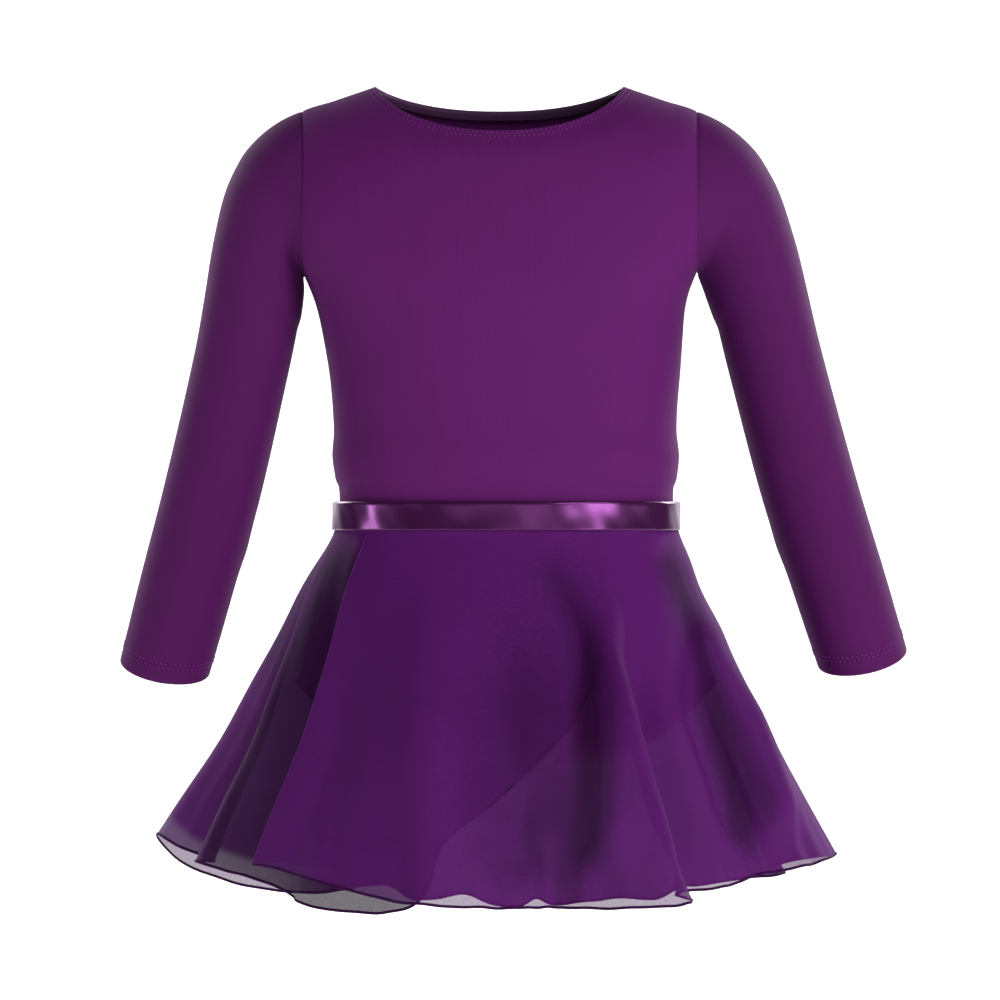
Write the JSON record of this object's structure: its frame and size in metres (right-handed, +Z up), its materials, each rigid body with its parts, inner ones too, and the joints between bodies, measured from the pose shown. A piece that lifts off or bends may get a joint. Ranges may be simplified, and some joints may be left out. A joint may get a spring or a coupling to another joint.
{
  "type": "leotard with wrap skirt",
  "caption": "Long-sleeved stretch-knit gymnastics and ballet leotard with a round neck and low-cut legs, under a sheer flared wrap skirt tied at the back by a satin waist ribbon.",
  "frame": {"origin": "midway between the two neck ends of the shoulder seams, where the wearer's shoulders carry the leotard", "axes": "+Z up along the wearer's spine, -Y out of the wearer's chest, +X to the wearer's left"},
  "size_m": [0.4718, 0.342, 0.4923],
  "materials": {
    "knit": "matt cotton and elastane jersey",
    "chiffon": "sheer matt chiffon",
    "satin": "glossy satin ribbon",
    "elastic": "woven elastic tape",
    "cotton": "soft cotton lining",
    "thread": "overlocked seam thread"
  },
  "bodies": {
    "leotard": {"front_bodice": "knit", "front_brief": "knit", "back_bodice": "knit", "back_brief": "knit", "neck_hem": "knit", "neck_elastic": "elastic", "crotch_gusset": "cotton", "left_sleeve_head": "knit", "left_armhole_seam": "thread", "left_shoulder_seam": "thread", "left_side_seam": "thread", "left_leg_hem": "knit", "left_leg_elastic": "elastic", "right_sleeve_head": "knit", "right_armhole_seam": "thread", "right_shoulder_seam": "thread", "right_side_seam": "thread", "right_leg_hem": "knit", "right_leg_elastic": "elastic"},
    "left_arm_sleeve": {"left_sleeve": "knit", "left_cuff_hem": "knit", "left_underarm_seam": "thread"},
    "right_arm_sleeve": {"right_sleeve": "knit", "right_cuff_hem": "knit", "right_underarm_seam": "thread"},
    "wrap_skirt": {"skirt_front_flap": "chiffon", "skirt_back": "chiffon", "skirt_under_flap": "chiffon", "waistband_ribbon": "satin", "bow_knot": "satin", "left_bow_loop": "satin", "right_bow_loop": "satin"},
    "left_tail": {"left_ribbon_tail": "satin"},
    "right_tail": {"right_ribbon_tail": "satin"}
  },
  "joints": [
    {"name": "left_shoulder", "type": "hinge", "parent": "leotard", "child": "left_arm_sleeve", "pos_m": [0.12, 0, -0.048], "axis": [0, -1, 0], "range_deg": [0, 75]},
    {"name": "right_shoulder", "type": "hinge", "parent": "leotard", "child": "right_arm_sleeve", "pos_m": [-0.12, 0, -0.048], "axis": [0, 1, 0], "range_deg": [0, 75]},
    {"name": "skirt_slide", "type": "slide", "parent": "leotard", "child": "wrap_skirt", "axis": [0, 0, 1], "range_m": [0, 0.008]},
    {"name": "left_tail_swing", "type": "hinge", "parent": "wrap_skirt", "child": "left_tail", "pos_m": [0.006, 0.0752, -0.267], "axis": [1, 0, 0], "range_deg": [0, 60]},
    {"name": "right_tail_swing", "type": "hinge", "parent": "wrap_skirt", "child": "right_tail", "pos_m": [-0.006, 0.0752, -0.267], "axis": [1, 0, 0], "range_deg": [0, 60]}
  ]
}
